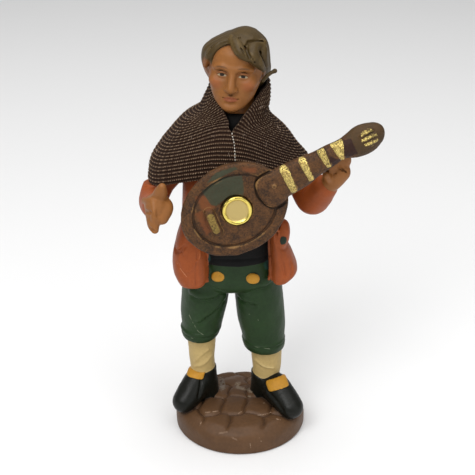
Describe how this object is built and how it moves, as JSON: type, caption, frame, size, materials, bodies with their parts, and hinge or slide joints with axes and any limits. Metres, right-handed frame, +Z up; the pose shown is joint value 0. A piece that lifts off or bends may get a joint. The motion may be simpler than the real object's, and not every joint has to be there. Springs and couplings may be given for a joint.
{
  "type": "nativity musician figurine",
  "caption": "Painted terracotta nativity figure of a standing lute player on a round cobbled base, wearing a real knitted cape, with a gilt disc in the lute's sound hole.",
  "frame": {"origin": "centre of the round base's underside", "axes": "+Z up the standing figure, -Y the way it faces, +X towards its own left side"},
  "size_m": [0.0903, 0.0623, 0.1709],
  "materials": {
    "painted_terracotta": "hand-painted terracotta, satin",
    "lute_paint": "worn brown paint, satin",
    "gilt_disc": "bright pressed foil",
    "knitted_wool": "ribbed dark brown knit with pale flecks"
  },
  "bodies": {
    "root": {"figure": "painted_terracotta", "lute": "lute_paint", "sound_hole_disc": "gilt_disc", "cape": "knitted_wool"}
  },
  "joints": []
}
